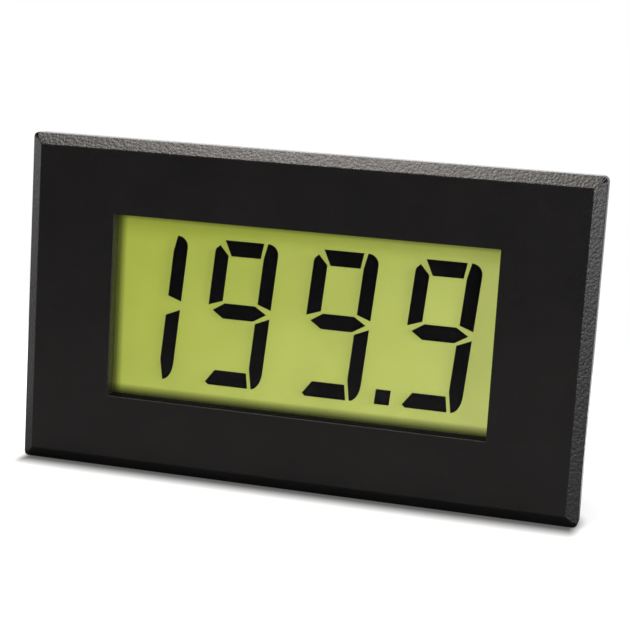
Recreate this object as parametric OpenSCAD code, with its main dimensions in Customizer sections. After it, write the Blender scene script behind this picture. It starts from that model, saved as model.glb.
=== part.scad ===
// Digital panel meter: a moulded bezel around a 3 1/2 digit backlit liquid crystal display,
// with a circuit board behind the display and two ratchet clips that clamp the bezel to a panel.
// The front faces -Y, +X is to the right as seen from the front and +Z is up.
// The origin is the centre of the panel cut-out, on the plane where the flange meets the panel.

/* [Window and borders] */
// Width of the display window
window_w = 39.9; // [36:0.1:60]
// Height of the display window
window_h = 19; // [17:0.1:30]
// Width of the bezel beside the window
side_border = 9.55; // [9.5:0.05:14]
// Height of the bezel above and below the window
top_border = 7.75; // [7.7:0.05:12]

/* [Bezel] */
// Thickness of the flange
flange_t = 2.4; // [1.8:0.1:4]
// Thickness of the flange round the window, where the display is let into its back
window_t = 1.5; // [1.3:0.05:1.7]
// Width of the bevel round the front face
bevel_w = 1.2; // [0.4:0.1:2]
// Depth of the bevel round the front face
bevel_d = 0.8; // [0.3:0.1:1.4]
// Radius of the flange's corners
flange_corner_r = 0.6; // [0.2:0.1:1.5]
// Overlap of the flange beyond the sleeve's sides
overlap_x = 2.8; // [2.2:0.1:3]
// Overlap of the flange beyond the sleeve's top and bottom
overlap_z = 2.55; // [2:0.05:2.8]
// Wall thickness of the sleeve
wall = 1.4; // [1.1:0.1:1.5]
// Depth of the sleeve behind the panel's front face
sleeve_depth = 14; // [13.8:0.1:20]
// Radius of the sleeve's outer corners
sleeve_corner_r = 1.2; // [0.4:0.1:1.4]
// Lead-in bevel at the sleeve's rear edge
lead_in = 0.5; // [0.2:0.1:0.9]
// Radius of the screw bosses
boss_r = 1.75; // [1.6:0.05:1.9]
// Distance of each boss from the sleeve's inner walls
boss_inset = 2; // [1.8:0.05:2.1]
// Thickness of the webs that tie the bosses to the walls
web_t = 0.9; // [0.6:0.1:1.4]
// Height of the ribs that locate the glass
rib_h = 0.65; // [0.4:0.05:0.9]
// Width of the ribs that locate the glass
rib_w = 1.2; // [0.8:0.1:3]

/* [Clip track] */
// Width of the clip's track in each short side of the sleeve
track_w = 13; // [11:0.5:14]
// Depth of the track below the sleeve's side
track_d = 1.5; // [1.4:0.05:1.7]
// Distance from the panel's front face to the track's closed end
track_stop = 0.5; // [0.3:0.1:0.7]
// Width of each lip that holds the clip in its track
lip_w = 1; // [0.6:0.1:1.4]
// Thickness of each lip
lip_t = 0.6; // [0.4:0.05:0.6]
// Pitch of the ratchet teeth
tooth_pitch = 1; // [0.8:0.1:1.6]
// Height of the ratchet teeth
tooth_h = 0.35; // [0.2:0.05:0.4]
// Width of the row of ratchet teeth
tooth_row_w = 4; // [3:0.1:5]

/* [Clips] */
// Thickness of the panel that the clips are drawn against
panel_t = 3; // [0.8:0.1:5.9]
// Length of a clip along its track
clip_len = 8; // [7:0.1:8]
// Clearance between a clip and its track
clip_gap = 0.1; // [0.05:0.01:0.14]
// Thickness of the clip's foot
foot_t = 1.5; // [1:0.1:2]
// Reach of the clip's foot beyond the sleeve
foot_reach = 2.2; // [1.6:0.1:2.4]
// Width of the sprung pawl
pawl_w = 3.6; // [3:0.1:5]
// Width of the slot round the pawl
pawl_slot = 0.4; // [0.3:0.05:0.5]

/* [Glass and films] */
// Thickness of each glass plate
glass_t = 0.7; // [0.5:0.1:1.1]
// Thickness of each polarising film
film_t = 0.2; // [0.15:0.05:0.3]
// Gap between the glass plates
cell_gap = 0.1; // [0.08:0.01:0.2]
// Contact ledge of the front glass, above and below the rear glass
ledge = 2; // [1.8:0.1:2.2]
// Clearance round the glass
glass_gap = 0.05; // [0.02:0.01:0.2]
// Width of the seal between the glass plates
seal_w = 0.8; // [0.5:0.05:0.9]

/* [Digits] */
// Height of a digit
digit_h = 15.2; // [12:0.1:16.5]
// Width of a digit
digit_w = 6.7; // [6:0.1:8]
// Thickness of the level bars
bar_h = 1.6; // [1:0.05:2]
// Thickness of the upright bars
bar_v = 1.47; // [1:0.01:1.8]
// Gap between two bars
bar_gap = 0.32; // [0.2:0.01:0.4]
// Height of the middle bar above the digit's centre
middle_z = 0.27; // [0:0.01:0.5]
// Lean of the digits in degrees
lean = 4.7; // [0:0.1:10]
// Distance from one digit to the next
digit_pitch = 10.48; // [9:0.01:11]
// Distance from the leading 1 to the digit after it
one_pitch = 9.72; // [9:0.01:10.5]
// Place of the last digit's centre right of the window's centre
last_digit_x = 14.1; // [13:0.1:14.5]
// Size of the decimal point
point_size = 1.55; // [1:0.05:2]
// Distance of the decimal point before the digit that follows it
point_before = 4.75; // [4:0.05:5.3]

/* [Backlight] */
// Thickness of the light guide
guide_t = 3.8; // [3:0.1:4]
// Wall thickness of the reflector tray
tray_wall = 0.6; // [0.5:0.05:0.7]
// Clearance round the light guide
guide_gap = 0.15; // [0.05:0.05:0.2]
// Height of the tray's feet above the board
tray_foot_h = 1; // [0.9:0.1:1.5]
// Width of a backlight lamp
lamp_w = 3.2; // [2.5:0.1:3.6]
// Thickness of a backlight lamp
lamp_t = 1.2; // [0.8:0.1:1.3]

/* [Board] */
// Thickness of the circuit board
board_t = 1.6; // [1:0.1:1.6]
// Clearance between the board and the sleeve
board_gap = 0.2; // [0.1:0.05:0.3]
// Radius of the board's screw holes
screw_hole_r = 1.1; // [1:0.05:1.2]
// Radius of the screws
screw_r = 0.85; // [0.7:0.05:0.9]
// Clearance between a screw and its boss
screw_gap = 0.01; // [0.01:0.01:0.05]
// Length of a screw below its head
screw_len = 6; // [4:0.1:6.5]
// Radius of the screw heads
screw_head_r = 1.75; // [1.4:0.05:1.9]
// Height of the screw heads
screw_head_h = 1.2; // [0.8:0.1:1.6]

/* [Parts on the board] */
// Side of the converter chip's body
chip_w = 10; // [8:0.1:10.5]
// Height of the converter chip's body
chip_h = 2; // [1.4:0.1:2.4]
// Pitch of the converter chip's leads
lead_pitch = 0.8; // [0.65:0.05:0.85]
// Number of leads on each side of the converter chip
leads_per_side = 11; // [7:1:11]
// Side of the trimmer's body
trimmer_w = 6.8; // [5.5:0.1:7.5]
// Height of the trimmer's body
trimmer_h = 4.2; // [3.5:0.1:4.8]
// Radius of the trimmer's rotor
rotor_r = 1.7; // [1.2:0.05:2.2]
// Running clearance round the rotor
rotor_gap = 0.05; // [0.02:0.01:0.1]
// Height of the rotor
rotor_h = 1.3; // [1:0.1:2]
// Length of a film capacitor
film_cap_l = 7.2; // [6.5:0.1:7.6]
// Thickness of a film capacitor
film_cap_w = 2.8; // [2:0.1:3.4]
// Height of a film capacitor
film_cap_h = 4.6; // [3.5:0.1:5]
// Radius of the supply capacitor's can
can_r = 2; // [1.5:0.05:2.5]
// Height of the supply capacitor
can_h = 4.7; // [3.8:0.1:5]
// Height of the supply capacitor's base
can_base_h = 0.9; // [0.6:0.1:1.2]
// Margin of the supply capacitor's base round its can
can_base_rim = 0.15; // [0.05:0.05:0.3]
// Length of a chip resistor or chip capacitor
chip_part_l = 2; // [1.6:0.1:2.2]
// Width of a chip resistor or chip capacitor
chip_part_w = 1.25; // [0.8:0.05:1.4]
// Length of each metal end of a chip part
chip_part_end = 0.4; // [0.2:0.05:0.6]
// Height of a chip resistor
resistor_h = 0.5; // [0.3:0.05:0.8]
// Height of a chip capacitor
chip_cap_h = 0.9; // [0.5:0.05:1.3]
// Pitch of the connector pins
pin_pitch = 2.54; // [2:0.01:2.54]
// Side of a connector pin
pin_w = 0.64; // [0.5:0.01:0.64]
// Height of the pin carriers
carrier_h = 2.5; // [2:0.1:3]
// Length of the pins above their carriers
pin_len = 6; // [4:0.1:8]
// Number of connector pins
pin_count = 10; // [4:1:10]
// Height of the link cap
link_h = 5.4; // [4:0.1:5.6]
// Radius of the leads that pass through the board
lead_r = 0.28; // [0.2:0.01:0.32]
// Radial clearance of the board's lead holes
lead_gap = 0.14; // [0.1:0.01:0.2]

/* [Hidden] */
$fn = 48;

// overlap of cutting tools past the face that they cut
cut = 1;

bezel_w = window_w + 2 * side_border;
bezel_h = window_h + 2 * top_border;
sleeve_w = bezel_w - 2 * overlap_x;
sleeve_h = bezel_h - 2 * overlap_z;
inner_w = sleeve_w - 2 * wall;
inner_h = sleeve_h - 2 * wall;
boss_x = inner_w / 2 - boss_inset;
boss_z = inner_h / 2 - boss_inset;

// faces across the track, measured from the meter's centre
track_floor_x = sleeve_w / 2 - track_d;
track_inside_x = track_floor_x - wall;
lip_x = sleeve_w / 2 - lip_t;
tooth_top_x = track_floor_x + tooth_h;
track_wall_z = track_w / 2 + wall;

// plates of the display, front to back
glass_w = 2 * (boss_x - boss_r - glass_gap);
front_glass_h = inner_h - 2 * (rib_h + glass_gap);
rear_glass_h = front_glass_h - 2 * ledge;
face_y = window_t - flange_t;
front_glass_y = face_y + film_t;
cell_y = front_glass_y + glass_t;
rear_glass_y = cell_y + cell_gap;
rear_film_y = rear_glass_y + glass_t;
guide_y = rear_film_y + film_t;
tray_floor_y = guide_y + guide_t;
tray_back_y = tray_floor_y + tray_wall;
board_y = tray_back_y + tray_foot_h;
board_back_y = board_y + board_t;

// backlight sizes, inwards from the glass
tray_w = glass_w - 0.2;
tray_h = rear_glass_h - 0.2;
guide_w = tray_w - 2 * (tray_wall + guide_gap);
guide_h = tray_h - 2 * (tray_wall + guide_gap);
lamp_z = 3;
lamp_x = guide_w / 2 + guide_gap + lamp_t / 2;
pocket_x = lamp_x + lamp_t / 2 + guide_gap + tray_wall;
pocket_z = lamp_z + lamp_w / 2 + guide_gap + tray_wall;
lamp_lead_z = 0.8;
tray_foot_x = 10;
tray_foot_r = 0.8;
strip_gap = 0.25;
rib_x = window_w / 4;

// corners of the upright digit, from its centre
half_w = digit_w / 2;
half_h = digit_h / 2;
inner_x = half_w - bar_v;
inner_z = half_h - bar_h;
middle_top = middle_z + bar_h / 2;
middle_bottom = middle_z - bar_h / 2;
segment_t = cell_gap * 0.6;

// rounds and cut corners of the bars: b's top, c's heel, d's toe, f's shoulder
top_round = 1.2;
heel_w = 1;
heel_h = 1.75;
toe_in = 0.68;
toe_up = 0.28;
toe_flat = 1.05;
shoulder_w = 0.5;
shoulder_h = 0.6;
shoulder_drop = 1.25;
shoulder_from = 110;

// places on the board
board_w = inner_w - 2 * board_gap;
board_h = inner_h - 2 * board_gap;
chip_x = -3;
chip_z = 1.5;
trimmer_inset = 8.9;
trimmer_x = board_w / 2 - trimmer_inset;
trimmer_z = 6.2;
film_cap_inset = 8.7;
film_cap_x = -(board_w / 2 - film_cap_inset);
film_cap_zs = [6.6, 1.8, -3];
film_cap_lead_x = 2.5;
can_x = 8.4;
can_z = 7.2;
link_inset = 8.5;
link_x = board_w / 2 - link_inset;
link_z = -4;
connector_inset = 3;
connector_z = -(board_h / 2 - connector_inset);
link_rows = 3;
pin_tail = 0.7;
// chip parts as [x, z, turn]: a row of upright resistors over the connector, a column under the can
upright = 90;
row_x = -9.5;
row_pitch = 3.4;
row_rise = 3;
column_drop = 4.2;
column_pitch = 2.6;
resistor_places = [for (i = [0:5]) [row_x + row_pitch * i, connector_z + row_rise, upright],
                   for (i = [0:2]) [can_x, can_z - column_drop - column_pitch * i, 0]];
capacitor_places = [[film_cap_x, board_h / 2 - 3.1, 0], [film_cap_x + 4.9, board_h / 2 - 3.1, 0],
                    [can_x - 5.2, board_h / 2 - 2.7, 0], [link_x - 5, link_z - 1.2, upright]];

// an outline drawn in x and z, made solid from y0 back to y1
module slab(y0, y1)
    translate([0, y1, 0])
        rotate([90, 0, 0])
            linear_extrude(y1 - y0)
                children();

// a plan drawn in x and y, made solid from z0 up to z1
module tall(z0, z1)
    translate([0, 0, z0])
        linear_extrude(z1 - z0)
            children();

// a side view drawn in y and z, made solid from x0 to x1
module wide(x0, x1)
    translate([x0, 0, 0])
        rotate([90, 0, 90])
            linear_extrude(x1 - x0)
                children();

module rounded_rect(w, h, r) {
    square([w - 2 * r, h], center = true);
    square([w, h - 2 * r], center = true);
    for (sx = [-1, 1])
        for (sz = [-1, 1])
            translate([sx * (w / 2 - r), sz * (h / 2 - r)])
                circle(r);
}

// a cylinder along y
module rod(r, y0, y1)
    slab(y0, y1)
        circle(r);

module corners(x, z)
    for (sx = [-1, 1])
        for (sz = [-1, 1])
            translate([sx * x, 0, sz * z])
                children();

// ---------------------------------------------------------------- bezel

// half width against depth of the flange, with its bevel
function flange_edge(half) = [[half, 0], [half, -flange_t + bevel_d], [half - bevel_w, -flange_t]];

// half width against depth of the sleeve, with its lead-in
function sleeve_edge(half) = [[half - lead_in, sleeve_depth], [half, sleeve_depth - lead_in], [half, 0]];

function mirrored(edge) = concat(edge, [for (i = [len(edge) - 1:-1:0]) [-edge[i][0], edge[i][1]]]);
function swapped(points) = [for (p = points) [p[1], p[0]]];

// an outline in x and z, shaped by the same edge on its sides and on its top and bottom
module edged(x_edge, z_edge, y0, y1, w, h, r)
    intersection() {
        slab(y0, y1)
            rounded_rect(w, h, r);
        tall(-h, h)
            polygon(mirrored(x_edge));
        wide(-w, w)
            polygon(swapped(mirrored(z_edge)));
    }

module flange()
    edged(flange_edge(bezel_w / 2), flange_edge(bezel_h / 2), -flange_t, 0,
          bezel_w, bezel_h, flange_corner_r);

module sleeve_block()
    edged(sleeve_edge(sleeve_w / 2), sleeve_edge(sleeve_h / 2), 0, sleeve_depth,
          sleeve_w, sleeve_h, sleeve_corner_r);

// what the clip's base and neck run in
module track_outline(side)
    scale([side, 1]) {
        translate([track_floor_x, -track_w / 2])
            square([lip_x - track_floor_x, track_w]);
        translate([track_floor_x, -track_w / 2 + lip_w])
            square([track_d + cut, track_w - 2 * lip_w]);
    }

module cavity_outline()
    difference() {
        square([inner_w, inner_h], center = true);
        for (side = [-1, 1])
            translate([side * (track_inside_x + inner_w / 2), 0])
                square([inner_w, 2 * track_wall_z], center = true);
    }

module ratchet_teeth(side)
    tall(-tooth_row_w / 2, tooth_row_w / 2)
        for (y = [tooth_pitch:tooth_pitch:sleeve_depth - lead_in - 1.5 * tooth_pitch])
            polygon([[side * (track_floor_x - wall / 4), y],
                     [side * tooth_top_x, y],
                     [side * track_floor_x, y + tooth_pitch],
                     [side * (track_floor_x - wall / 4), y + tooth_pitch]]);

module screw_boss()
    rod(boss_r, face_y - wall / 4, board_y);

module boss_webs()
    slab(face_y - wall / 4, board_y)
        for (sx = [-1, 1])
            for (sz = [-1, 1]) {
                translate([sx * (boss_x + boss_inset / 2 + wall / 4), sz * boss_z])
                    square([boss_inset + wall / 2, web_t], center = true);
                translate([sx * boss_x, sz * (boss_z + boss_inset / 2 + wall / 4)])
                    square([web_t, boss_inset + wall / 2], center = true);
            }

module glass_ribs()
    slab(face_y - wall / 4, board_y / 2)
        for (sx = [-1, 1])
            for (sz = [-1, 1])
                translate([sx * rib_x, sz * (inner_h / 2 + (wall / 2 - rib_h) / 2)])
                    square([rib_w, rib_h + wall / 2], center = true);

module bezel()
    color([0.09, 0.09, 0.1])
        difference() {
            union() {
                difference() {
                    union() {
                        flange();
                        sleeve_block();
                    }
                    slab(face_y, sleeve_depth + cut)
                        cavity_outline();
                    for (side = [-1, 1])
                        slab(track_stop, sleeve_depth + cut)
                            track_outline(side);
                }
                for (side = [-1, 1])
                    ratchet_teeth(side);
                corners(boss_x, boss_z)
                    screw_boss();
                boss_webs();
                glass_ribs();
            }
            slab(-flange_t - cut, cut)
                square([window_w, window_h], center = true);
            corners(boss_x, boss_z)
                rod(screw_r + screw_gap, board_back_y - screw_len - screw_gap, board_y + cut);
        }

// ---------------------------------------------------------------- clips

module clip_solid() {
    base_x = track_floor_x + clip_gap;
    neck_x = lip_x - clip_gap;
    foot_x = sleeve_w / 2 + foot_reach;
    base_z = track_w / 2 - clip_gap;
    neck_z = track_w / 2 - lip_w - clip_gap;
    top_x = sleeve_w / 2 + clip_gap;
    end_y = panel_t + clip_len;
    groove_x = tooth_top_x + 0.25;
    tongue_x = neck_x + 0.4;
    tongue_y0 = panel_t + foot_t + 0.7;
    tongue_y1 = end_y - 1.8;
    grip_y = end_y - 1.1;
    gusset_z = neck_z - 1.4;
    difference() {
        union() {
            tall(-base_z, base_z)
                polygon([[base_x, panel_t], [neck_x, panel_t], [neck_x, end_y], [base_x, end_y]]);
            tall(-neck_z, neck_z)
                polygon([[base_x, panel_t], [foot_x, panel_t], [foot_x, panel_t + foot_t - 0.4],
                         [foot_x - 0.4, panel_t + foot_t], [top_x + 0.4, panel_t + foot_t],
                         [top_x, panel_t + foot_t + 0.4], [top_x, grip_y - 0.5],
                         [top_x + 0.9, grip_y], [top_x + 0.9, end_y], [base_x, end_y]]);
            for (sz = [-1, 1])
                translate([0, 0, sz * gusset_z])
                    tall(-0.45, 0.45)
                        polygon([[top_x - 0.3, panel_t + foot_t - 0.3], [foot_x - 0.5, panel_t + foot_t - 0.3],
                                 [foot_x - 0.5, panel_t + foot_t], [top_x, grip_y - 1], [top_x - 0.3, grip_y - 1]]);
        }
        // groove that clears the ratchet teeth
        translate([base_x - cut, panel_t - cut, -tooth_row_w / 2 - pawl_slot / 2])
            cube([groove_x - base_x + cut, clip_len + 2 * cut, tooth_row_w + pawl_slot]);
        // slot round the pawl, open at its free end
        difference() {
            translate([base_x - cut, tongue_y0, -pawl_w / 2 - pawl_slot])
                cube([foot_reach + track_d + cut, tongue_y1 - tongue_y0 + pawl_slot, pawl_w + 2 * pawl_slot]);
            translate([groove_x, tongue_y0 - cut, -pawl_w / 2])
                cube([tongue_x - groove_x, tongue_y1 - tongue_y0 + cut, pawl_w]);
        }
    }
    // nib under the pawl's free end
    tall(-pawl_w / 2, pawl_w / 2)
        polygon([[groove_x, tongue_y1 - 1], [tooth_top_x + clip_gap / 2, tongue_y1 - 0.2],
                 [tooth_top_x + clip_gap / 2, tongue_y1], [tongue_x, tongue_y1],
                 [tongue_x, tongue_y1 - 1]]);
}

module clip_right()
    color([0.16, 0.16, 0.17])
        clip_solid();

module clip_left()
    color([0.16, 0.16, 0.17])
        mirror([1, 0, 0])
            clip_solid();

// ---------------------------------------------------------------- display

module front_polariser()
    color([0.6, 0.66, 0.5, 0.3])
        slab(face_y, front_glass_y)
            square([glass_w - seal_w, rear_glass_h - seal_w], center = true);

module front_glass()
    color([0.8, 0.9, 0.85, 0.3])
        slab(front_glass_y, cell_y)
            square([glass_w, front_glass_h], center = true);

module rear_glass()
    color([0.8, 0.9, 0.85, 0.3])
        slab(rear_glass_y, rear_film_y)
            square([glass_w, rear_glass_h], center = true);

module cell_seal()
    color([0.75, 0.72, 0.6])
        slab(cell_y, rear_glass_y)
            difference() {
                square([glass_w - seal_w / 2, rear_glass_h - seal_w / 2], center = true);
                square([glass_w - 2.5 * seal_w, rear_glass_h - 2.5 * seal_w], center = true);
            }

module rear_polariser()
    color([0.62, 0.7, 0.28])
        slab(rear_film_y, guide_y)
            square([guide_w, guide_h], center = true);

function leaning(points) = [for (p = points) [p[0] + p[1] * tan(lean), p[1]]];
function arc(cx, cz, rx, rz, from, to, steps = 8) =
    [for (i = [0:steps]) let (a = from + (to - from) * i / steps) [cx + rx * cos(a), cz + rz * sin(a)]];

// bars of one digit: a top, b upper right, c lower right, d bottom, f upper left, g middle
function bar_a() = [
    [-inner_x + bar_gap, inner_z], [inner_x - bar_gap, inner_z],
    [inner_x - bar_gap / 2, half_h], [-inner_x - bar_h / 3, half_h]];
function bar_b() = concat(
    [[inner_x, middle_top + 0.7 * bar_gap], [half_w, middle_z + 1.6 * bar_gap]],
    arc(half_w - top_round, half_h - top_round, top_round, top_round, 0, 90),
    [[inner_x, inner_z]]);
function bar_c() = concat(
    [[inner_x, middle_bottom - 0.7 * bar_gap], [inner_x, -inner_z + 1.6 * bar_gap]],
    arc(half_w - heel_w, -half_h + heel_h, heel_w, heel_h, -90, 0),
    [[half_w, middle_z - 1.2 * bar_gap]]);
function bar_d() = [
    [-inner_x + bar_gap / 3, -inner_z], [-half_w + toe_in, -half_h + toe_up], [-half_w + toe_flat, -half_h],
    [inner_x + bar_gap / 4, -half_h], [inner_x - 0.8 * bar_gap, -inner_z]];
function bar_f() = concat(
    [[-inner_x, middle_top + 0.7 * bar_gap], [-inner_x, inner_z],
     [-inner_x - 0.65 * bar_h, half_h - bar_h / 3]],
    arc(-half_w + shoulder_w, half_h - shoulder_drop, shoulder_w, shoulder_h, shoulder_from, 180, 4),
    [[-half_w, middle_z + 1.6 * bar_gap]]);
function bar_g() = [
    [-half_w + 1.6 * bar_gap, middle_z], [-inner_x + 0.8 * bar_gap, middle_top],
    [inner_x - 0.8 * bar_gap, middle_top], [half_w - 1.3 * bar_gap, middle_z],
    [inner_x - 0.8 * bar_gap, middle_bottom], [-inner_x + 0.8 * bar_gap, middle_bottom]];
function point_bar() = [
    [-point_size / 2, -half_h], [point_size / 2, -half_h],
    [point_size / 2, -half_h + point_size], [-point_size / 2, -half_h + point_size]];

module bars(x, list)
    for (bar = list)
        translate([x, 0])
            polygon(leaning(bar));

module display_segments()
    color([0.06, 0.06, 0.07])
        slab(cell_y + (cell_gap - segment_t) / 2, cell_y + (cell_gap + segment_t) / 2) {
            for (i = [0:2])
                bars(last_digit_x - i * digit_pitch,
                     [bar_a(), bar_b(), bar_c(), bar_d(), bar_f(), bar_g()]);
            bars(last_digit_x - 2 * digit_pitch - one_pitch, [bar_b(), bar_c()]);
            bars(last_digit_x - point_before, [point_bar()]);
        }

// ---------------------------------------------------------------- backlight

module light_guide()
    color([0.85, 0.9, 0.7])
        slab(guide_y, tray_floor_y)
            square([guide_w, guide_h], center = true);

module tray_outline()
    union() {
        square([tray_w, tray_h], center = true);
        square([2 * pocket_x, 2 * pocket_z], center = true);
    }

module tray_hollow()
    union() {
        square([tray_w - 2 * tray_wall, tray_h - 2 * tray_wall], center = true);
        square([2 * (pocket_x - tray_wall), 2 * (pocket_z - tray_wall)], center = true);
    }

module lamp_windows()
    for (sx = [-1, 1])
        translate([sx * (pocket_x - tray_wall - (pocket_x - guide_w / 2 - tray_wall) / 2), 0])
            square([pocket_x - guide_w / 2 - tray_wall, 2 * (pocket_z - tray_wall)], center = true);

module reflector_tray()
    color([0.95, 0.95, 0.93]) {
        difference() {
            slab(rear_film_y, tray_back_y)
                tray_outline();
            slab(rear_film_y - cut, tray_floor_y)
                tray_hollow();
            slab(tray_floor_y - cut, tray_back_y + cut)
                lamp_windows();
        }
        corners(tray_foot_x, tray_h / 2 - 1.6)
            rod(tray_foot_r, tray_floor_y, board_y);
    }

module lamp_places()
    for (sx = [-1, 1])
        for (sz = [-1, 1])
            translate([sx * lamp_x, 0, sz * lamp_z])
                children();

module backlight_lamps()
    color([0.95, 0.95, 0.75])
        lamp_places()
            slab(guide_y + 0.3, tray_floor_y - 0.3)
                square([lamp_t, lamp_w], center = true);

module lamp_lead_places()
    lamp_places()
        for (s = [-1, 1])
            translate([0, 0, s * lamp_lead_z])
                children();

module lamp_leads()
    color([0.75, 0.75, 0.76])
        lamp_lead_places()
            rod(lead_r, tray_floor_y - 0.3, board_back_y + 0.3);

module contact_strip(side)
    color([0.12, 0.12, 0.13])
        translate([0, 0, side * (rear_glass_h + ledge) / 2])
            slab(cell_y, board_y)
                square([window_w, ledge - 2 * strip_gap], center = true);

module upper_contact_strip()
    contact_strip(1);

module lower_contact_strip()
    contact_strip(-1);

// ---------------------------------------------------------------- circuit board

module board_outline()
    difference() {
        square([board_w, board_h], center = true);
        for (side = [-1, 1])
            translate([side * (track_inside_x - board_gap + inner_w / 2), 0])
                square([inner_w, 2 * (track_wall_z + board_gap)], center = true);
    }

module pin_row(count)
    for (i = [0:count - 1])
        translate([(i - (count - 1) / 2) * pin_pitch, 0, 0])
            children();

module connector_places()
    translate([0, 0, connector_z])
        pin_row(pin_count)
            children();

module link_places()
    for (i = [0:link_rows - 1])
        translate([link_x, 0, link_z + (i - (link_rows - 1) / 2) * pin_pitch])
            pin_row(2)
                children();

module trimmer_pin_places()
    for (p = [[-pin_pitch, -pin_pitch / 2], [0, pin_pitch / 2], [pin_pitch, -pin_pitch / 2]])
        translate([trimmer_x + p[0], 0, trimmer_z + p[1]])
            children();

module film_cap_lead_places()
    for (z = film_cap_zs)
        for (s = [-1, 1])
            translate([film_cap_x + s * film_cap_lead_x, 0, z])
                children();

module circuit_board()
    color([0.05, 0.28, 0.14])
        difference() {
            slab(board_y, board_back_y)
                board_outline();
            corners(boss_x, boss_z)
                rod(screw_hole_r, board_y - cut, board_back_y + cut);
            connector_places()
                rod(pin_w * sqrt(0.5) + lead_gap / 2, board_y - cut, board_back_y + cut);
            link_places()
                rod(pin_w * sqrt(0.5) + lead_gap / 2, board_y - cut, board_back_y + cut);
            trimmer_pin_places()
                rod(lead_r + lead_gap, board_y - cut, board_back_y + cut);
            film_cap_lead_places()
                rod(lead_r + lead_gap, board_y - cut, board_back_y + cut);
            lamp_lead_places()
                rod(lead_r + lead_gap, board_y - cut, board_back_y + cut);
        }

module screw_solid() {
    head_y = board_back_y;
    difference() {
        rotate([-90, 0, 0])
            rotate_extrude()
                polygon([[0, head_y - screw_len], [screw_r * 0.6, head_y - screw_len],
                         [screw_r, head_y - screw_len + 0.6], [screw_r, head_y], [screw_head_r, head_y],
                         [screw_head_r, head_y + screw_head_h * 0.45],
                         [screw_head_r * 0.8, head_y + screw_head_h * 0.85],
                         [screw_head_r * 0.4, head_y + screw_head_h], [0, head_y + screw_head_h]]);
        slab(head_y + screw_head_h * 0.35, head_y + screw_head_h + cut) {
            square([screw_head_r * 1.2, screw_head_r * 0.28], center = true);
            square([screw_head_r * 0.28, screw_head_r * 1.2], center = true);
        }
    }
}

module board_screws()
    color([0.72, 0.73, 0.74])
        corners(boss_x, boss_z)
            screw_solid();

// ---------------------------------------------------------------- parts on the board

// a moulded chip body whose four sides draft in from its middle
module drafted_body(w, h, t, draft) {
    side = [[w / 2 - draft, 0], [w / 2, t / 2], [w / 2 - draft, t]];
    end = [[h / 2 - draft, 0], [h / 2, t / 2], [h / 2 - draft, t]];
    intersection() {
        tall(-h, h)
            polygon(mirrored(side));
        wide(-w, w)
            polygon(swapped(mirrored(end)));
    }
}

module converter_chip()
    color([0.1, 0.1, 0.1])
        translate([chip_x, board_back_y + 0.1, chip_z])
            difference() {
                drafted_body(chip_w, chip_w, chip_h, 0.2);
                translate([chip_w / 2 - 1.2, 0, chip_w / 2 - 1.2])
                    rod(0.5, chip_h - 0.1, chip_h + cut);
            }

// side view of a gull-wing lead, out from the chip's body
function gull_wing(t) = [
    [-0.3, chip_h / 2 + t / 2], [0.45, chip_h / 2 + t / 2], [0.85, t - 0.1], [1.6, t - 0.1],
    [1.6, -0.1], [0.7, -0.1], [0.3, chip_h / 2 - t / 2], [-0.3, chip_h / 2 - t / 2]];

module converter_leads()
    color([0.75, 0.75, 0.76])
        translate([chip_x, board_back_y + 0.1, chip_z])
            for (turn = [0:90:270])
                for (i = [0:leads_per_side - 1])
                    rotate([0, turn, 0])
                        translate([chip_w / 2, 0, (i - (leads_per_side - 1) / 2) * lead_pitch])
                            difference() {
                                tall(-0.17, 0.17)
                                    polygon(gull_wing(0.17));
                                translate([-chip_w / 2, 0, 0])
                                    drafted_body(chip_w, 2 * chip_w, chip_h, 0.2);
                            }

module film_capacitors()
    color([0.75, 0.2, 0.12])
        for (z = film_cap_zs)
            translate([film_cap_x, 0, z]) {
                slab(board_back_y + 0.4, board_back_y + film_cap_h)
                    rounded_rect(film_cap_l, film_cap_w, 0.3);
                for (s = [-1, 1])
                    translate([s * (film_cap_l / 2 - 0.4), 0, 0])
                        slab(board_back_y, board_back_y + 0.5)
                            square([0.7, film_cap_w - 0.6], center = true);
            }

module film_capacitor_leads()
    color([0.75, 0.75, 0.76])
        film_cap_lead_places()
            rod(lead_r, board_y - pin_tail, board_back_y + 0.4);

can_y = board_back_y + can_base_h;
can_top_y = board_back_y + can_h;
can_groove = 0.7;
can_edge = 0.3;

module supply_capacitor()
    color([0.8, 0.8, 0.82])
        translate([can_x, 0, can_z])
            rotate([-90, 0, 0])
                rotate_extrude()
                    polygon([[0, can_y], [can_r, can_y], [can_r, can_y + 0.4 * can_groove],
                             [can_r - 0.15, can_y + 0.7 * can_groove], [can_r, can_y + can_groove],
                             [can_r, can_top_y - can_edge], [can_r - can_edge, can_top_y],
                             [0, can_top_y]]);

module supply_capacitor_base()
    color([0.12, 0.12, 0.12])
        translate([can_x, 0, can_z])
            slab(board_back_y, can_y)
                polygon([for (p = [[-1, -1], [0.5, -1], [1, -0.5], [1, 0.5], [0.5, 1], [-1, 1]])
                         p * (can_r + can_base_rim)]);

module at_places(places)
    for (p = places)
        translate([p[0], board_back_y, p[1]])
            rotate([0, p[2], 0])
                children();

// how far the metal ends stand above a chip part's body
end_lap = 0.03;

module chip_part(h)
    slab(0, h)
        square([chip_part_l - 2 * chip_part_end, chip_part_w], center = true);

module chip_part_ends(h)
    for (s = [-1, 1])
        translate([s * (chip_part_l - chip_part_end) / 2, 0, 0])
            slab(0, h + end_lap)
                square([chip_part_end, chip_part_w], center = true);

module chip_resistors()
    color([0.1, 0.1, 0.1])
        at_places(resistor_places)
            chip_part(resistor_h);

module chip_resistor_ends()
    color([0.78, 0.78, 0.78])
        at_places(resistor_places)
            chip_part_ends(resistor_h);

module chip_capacitors()
    color([0.6, 0.48, 0.34])
        at_places(capacitor_places)
            chip_part(chip_cap_h);

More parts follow.
